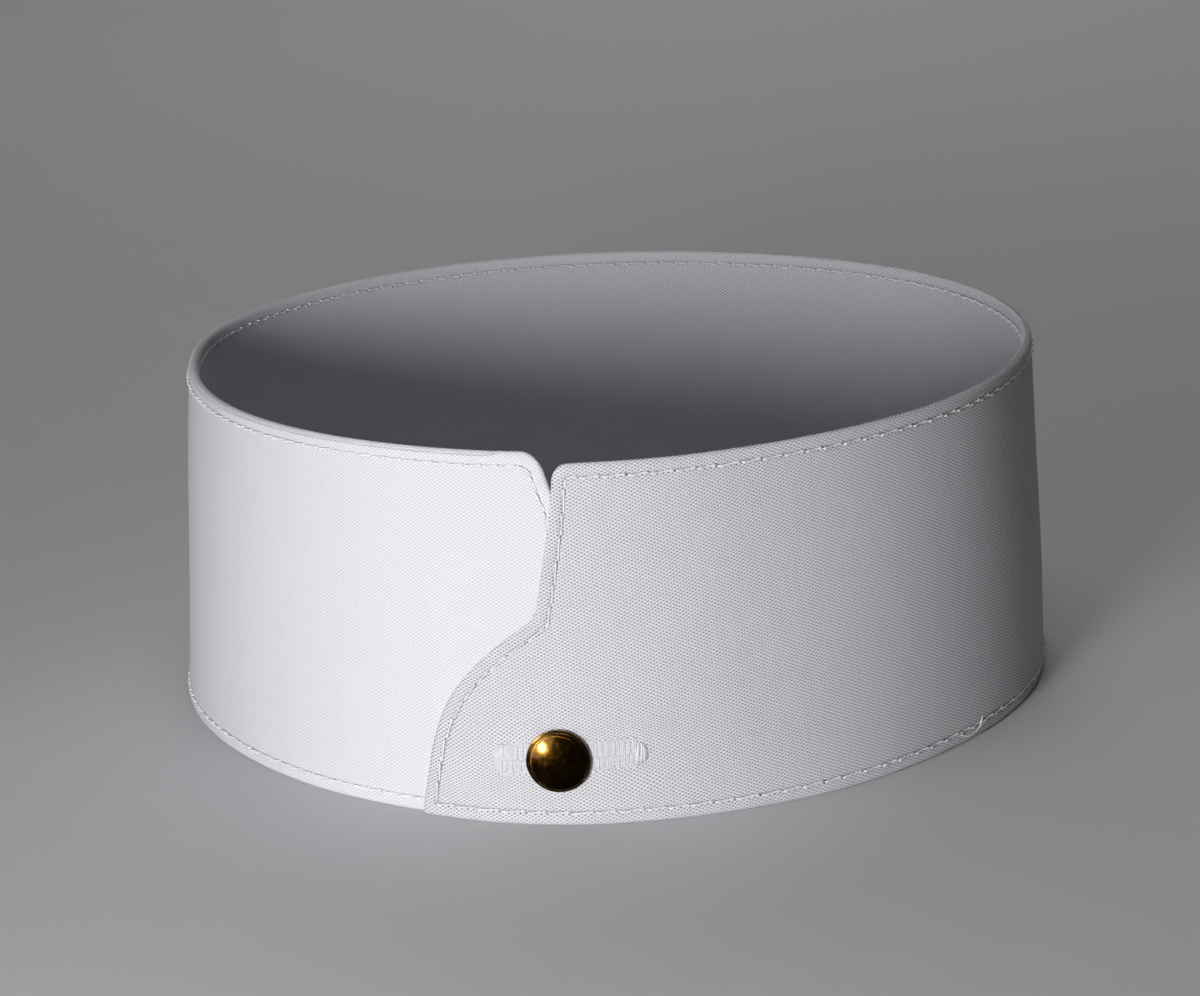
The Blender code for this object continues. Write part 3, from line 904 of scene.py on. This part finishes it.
def turned(name, profile, sides, flutes=0.0):
    """A profile of radii and places along the stud's axis turned through a circle, with
    fine flutes as a sine of the angle where the third column of the profile is set."""
    profile = np.asarray(profile)
    turn = np.linspace(0.0, 2.0 * math.pi, sides, endpoint=False)
    radius = profile[:, 0][:, None] * np.ones(sides)[None, :]
    along = profile[:, 1][:, None] + flutes * profile[:, 2][:, None] * np.cos(turn * FLUTES)[None, :]
    x = radius * np.cos(turn)
    z = radius * np.sin(turn)
    cos, sin = math.cos(STUD_TILT), math.sin(STUD_TILT)
    face_y = CENTRE_SHIFT - float(plan_radius(0.0)) * taper(STUD_HEIGHT)
    points = np.stack([x + TOP_LEAN * STUD_HEIGHT / HEIGHT,
                       face_y - along * cos + z * sin,
                       STUD_HEIGHT + along * sin + z * cos], axis=-1)
    rows = len(profile)
    index = np.arange(rows * sides).reshape(rows, sides)
    following = np.roll(index, -1, axis=1)
    faces = np.stack([index[:-1], following[:-1], following[1:], index[1:]], axis=-1)
    faces = faces.reshape(-1, 4)
    place = np.stack([np.broadcast_to(turn[None, :], radius.shape), along], axis=-1)
    piece = mesh_piece(name, points.reshape(-1, 3) * MM, faces, place.reshape(-1, 2))
    weld = piece.modifiers.new("closed_centre", "WELD")
    weld.merge_threshold = 4.0 * POLE * MM
    return piece


def cap_profile():
    """From the middle outwards: a shallow dome as a parabola, a faint fluted ring, a
    sloped shoulder, a rolled bead as an arc, and the flat underside."""
    top = CAP_FACE + CAP_HEIGHT
    share = np.linspace(0.0, 1.0, 30)
    dome = np.stack([DOME_RADIUS * share + POLE, top - DOME_RISE * share ** 2, np.zeros(30)], axis=1)
    ring = np.array([[3.62, top - 0.78, 0.5], [3.67, top - 0.79, 1.0], [3.74, top - 0.79, 1.0],
                     [3.80, top - 0.82, 0.5], [3.92, top - 0.90, 0.0], [4.05, top - 1.00, 0.0],
                     [4.15, top - 1.09, 0.0]])
    turn = np.linspace(-1.9, math.pi / 2.0 + 0.6, 12)[::-1]
    bead = np.stack([BEAD_CENTRE + BEAD_RADIUS * np.cos(turn),
                     CAP_FACE + 0.22 + BEAD_RADIUS * np.sin(turn), np.zeros(12)], axis=1)
    under = np.array([[3.9, CAP_FACE + 0.05, 0.0], [POLE, CAP_FACE + 0.05, 0.0]])
    return np.concatenate([dome, ring, bead, under])


def shank_profile():
    """From the end inside the cap: the straight post, a flare of three short slopes, and
    a thin base plate with an edge turned as a half circle."""
    end = CAP_FACE + 0.3
    turn = np.linspace(math.pi / 2.0, -math.pi / 2.0, 9)
    edge = np.stack([BASE_RADIUS - BASE_EDGE + BASE_EDGE * np.cos(turn),
                     BASE_TOP - BASE_EDGE + BASE_EDGE * np.sin(turn), np.zeros(9)], axis=1)
    start = np.array([[POLE, end, 0.0], [POST_RADIUS, end, 0.0], [POST_RADIUS, BASE_TOP + 0.5, 0.0],
                      [POST_RADIUS + 0.15, BASE_TOP + 0.18, 0.0], [POST_RADIUS + 0.5, BASE_TOP, 0.0]])
    finish = np.array([[POLE, BASE_TOP - 2.0 * BASE_EDGE, 0.0]])
    return np.concatenate([start, edge, finish])


# Brass: the lacquer has browned in patches a few millimetres across, and handling
# left rubbing marks two thirds of a millimetre apart. Both are spacings in millimetres.
PATCH_SPACING = 3.85
RUB_SPACING = 2.0 / 3.0


def polished_brass(name, colour, deep_colour, roughness):
    """Polished brass under an old lacquer: clear reflections, darker and browner in soft
    patches, and fine rubbing marks that make the shine a little uneven."""
    material, shader = new_material(name, roughness, colour, Metallic=1.0, Coat_Weight=0.7,
                                    Coat_Roughness=0.06)
    place = add_node(material, "ShaderNodeTexCoord").outputs["Object"]
    patches = add_node(material, "ShaderNodeTexNoise", {
        "Vector": place, "Scale": 1.0 / (PATCH_SPACING * MM), "Detail": 4.0})
    shade = add_node(material, "ShaderNodeValToRGB", {0: patches})
    shade.color_ramp.elements[0].position = 0.36
    shade.color_ramp.elements[0].color = linear(deep_colour)
    shade.color_ramp.elements[1].position = 0.66
    shade.color_ramp.elements[1].color = linear(colour)
    material.node_tree.links.new(shade.outputs[0], shader.inputs["Base Color"])
    rub = add_node(material, "ShaderNodeTexNoise", {
        "Vector": place, "Scale": 1.0 / (RUB_SPACING * MM), "Detail": 5.0})
    spread = add_node(material, "ShaderNodeMapRange", {0: rub, 1: 0.35, 2: 0.75,
                                                       3: roughness - 0.05, 4: roughness + 0.10})
    material.node_tree.links.new(spread.outputs[0], shader.inputs["Roughness"])
    return material


brass = polished_brass("polished_brass", "#A67A22", "#6E4A12", 0.20)
cap = turned("cap", cap_profile(), 4 * FLUTES, flutes=FLUTE_DEPTH)
cap.data.materials.append(brass)
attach(cap, "root")
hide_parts("stud_cap")
shank = turned("stud_base", shank_profile(), 96)
shank.data.materials.append(brass)
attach(shank, "root")
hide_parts("stud_shank")


# Studio: a pale paper floor swept up behind. A soft key lamp stands to the left front,
# so that the far side of the ring falls into shade, with a weak one above and one behind.
# Three more light only the shine of the stud, which mirrors neither key lamp nor floor.


def studio_floor():
    """A flat floor that curves up into a back wall as a quarter circle, in metres."""
    width, front, back, bend, wall = 3.0, -2.0, 1.2, 0.5, 2.2
    turn = np.linspace(0.0, math.pi / 2.0, 17)
    y = np.concatenate([[front], np.linspace(-0.8, back, 8), back + bend * np.sin(turn)[1:], [back + bend]])
    z = np.concatenate([[0.0], np.zeros(8), bend * (1.0 - np.cos(turn))[1:], [wall]])
    left = np.stack([np.full(len(y), -width), y, z], axis=1)
    right = np.stack([np.full(len(y), width), y, z], axis=1)
    index = np.arange(len(y) - 1)
    faces = np.stack([index, index + len(y), index + len(y) + 1, index + 1], axis=1)
    points = np.concatenate([left, right])
    return mesh_piece("studio_floor", points, faces, points[:, :2])


# Matt paper, so pale and even that only shadows show on it.
paper, _ = new_material("pale_paper", 0.9, "#D4D4D6", Specular_IOR_Level=0.2)
floor = studio_floor()
floor.data.materials.append(paper)


def soft_lamp(name, azimuth, elevation, distance, size, power, target=(0.0, -0.04, 0.02)):
    """A round lamp at a distance from its target, in the direction of an azimuth and an
    elevation, turned to face it."""
    lamp = bpy.data.objects.new(name, bpy.data.lights.new(name, "AREA"))
    lamp.data.shape = "DISK"
    lamp.data.size = size
    lamp.data.energy = power
    bpy.context.scene.collection.objects.link(lamp)
    a, e = math.radians(azimuth), math.radians(elevation)
    away = np.array([math.sin(a) * math.cos(e), -math.cos(a) * math.cos(e), math.sin(e)])
    lamp.location = np.array(target) + away * distance
    aim(lamp, -away)
    return lamp


def aim(thing, direction, roll=0.0):
    """Turns an object so that its -Z runs along a direction with its +Y upwards, then
    rolls it about its own Z."""
    forward = np.asarray(direction) / np.linalg.norm(direction)
    right = np.cross(forward, (0.0, 0.0, 1.0))
    right = right / np.linalg.norm(right)
    up = np.cross(right, forward)
    cos, sin = math.cos(roll), math.sin(roll)
    side = right * cos + up * sin
    top = up * cos - right * sin
    matrix = np.eye(4)
    matrix[:3, 0], matrix[:3, 1], matrix[:3, 2] = side, top, -forward
    matrix[:3, 3] = thing.location
    thing.matrix_world = Matrix(matrix)


# Direction round from the front and up, distance, size, and power.
key_lamp = soft_lamp("key_lamp", -15.5, 9.0, 0.42, 0.14, 0.392)
key_lamp.data.spread = math.radians(92.0)
key_lamp.visible_glossy = False
floor.visible_glossy = False
shine_lamp = soft_lamp("shine_lamp", -33.0, 8.0, 0.42, 0.10, 0.55)
edge_lamp = soft_lamp("edge_lamp", -46.0, 19.0, 0.42, 0.10, 0.45)
glow_lamp = soft_lamp("glow_lamp", -50.0, 22.0, 0.6, 0.75, 1.3)
for lamp in (shine_lamp, edge_lamp, glow_lamp):
    lamp.visible_diffuse = False
soft_lamp("back_lamp", 183.0, 38.0, 1.0, 0.7, 1.6)
soft_lamp("top_lamp", -10.0, 84.0, 1.3, 0.9, 2.3)
world = bpy.data.worlds.new("dim_room")
world.use_nodes = True
world.node_tree.nodes["Background"].inputs[0].default_value = linear("#F4F5FA")
world.node_tree.nodes["Background"].inputs[1].default_value = 0.012
bpy.context.scene.world = world
bpy.context.scene.view_settings.view_transform = "Standard"

# Camera: half a metre off, a little to the right and looking down, rolled slightly.
camera = bpy.data.objects.new("camera", bpy.data.cameras.new("camera"))
bpy.context.scene.collection.objects.link(camera)
camera.data.sensor_width = 36.0
camera.data.lens = 106.5
camera.data.clip_start = 0.01
camera.location = (0.0673, -0.5036, 0.18895)
aim(camera, (-0.1274, 0.9446, -0.3026), math.radians(-2.667))
bpy.context.scene.camera = camera
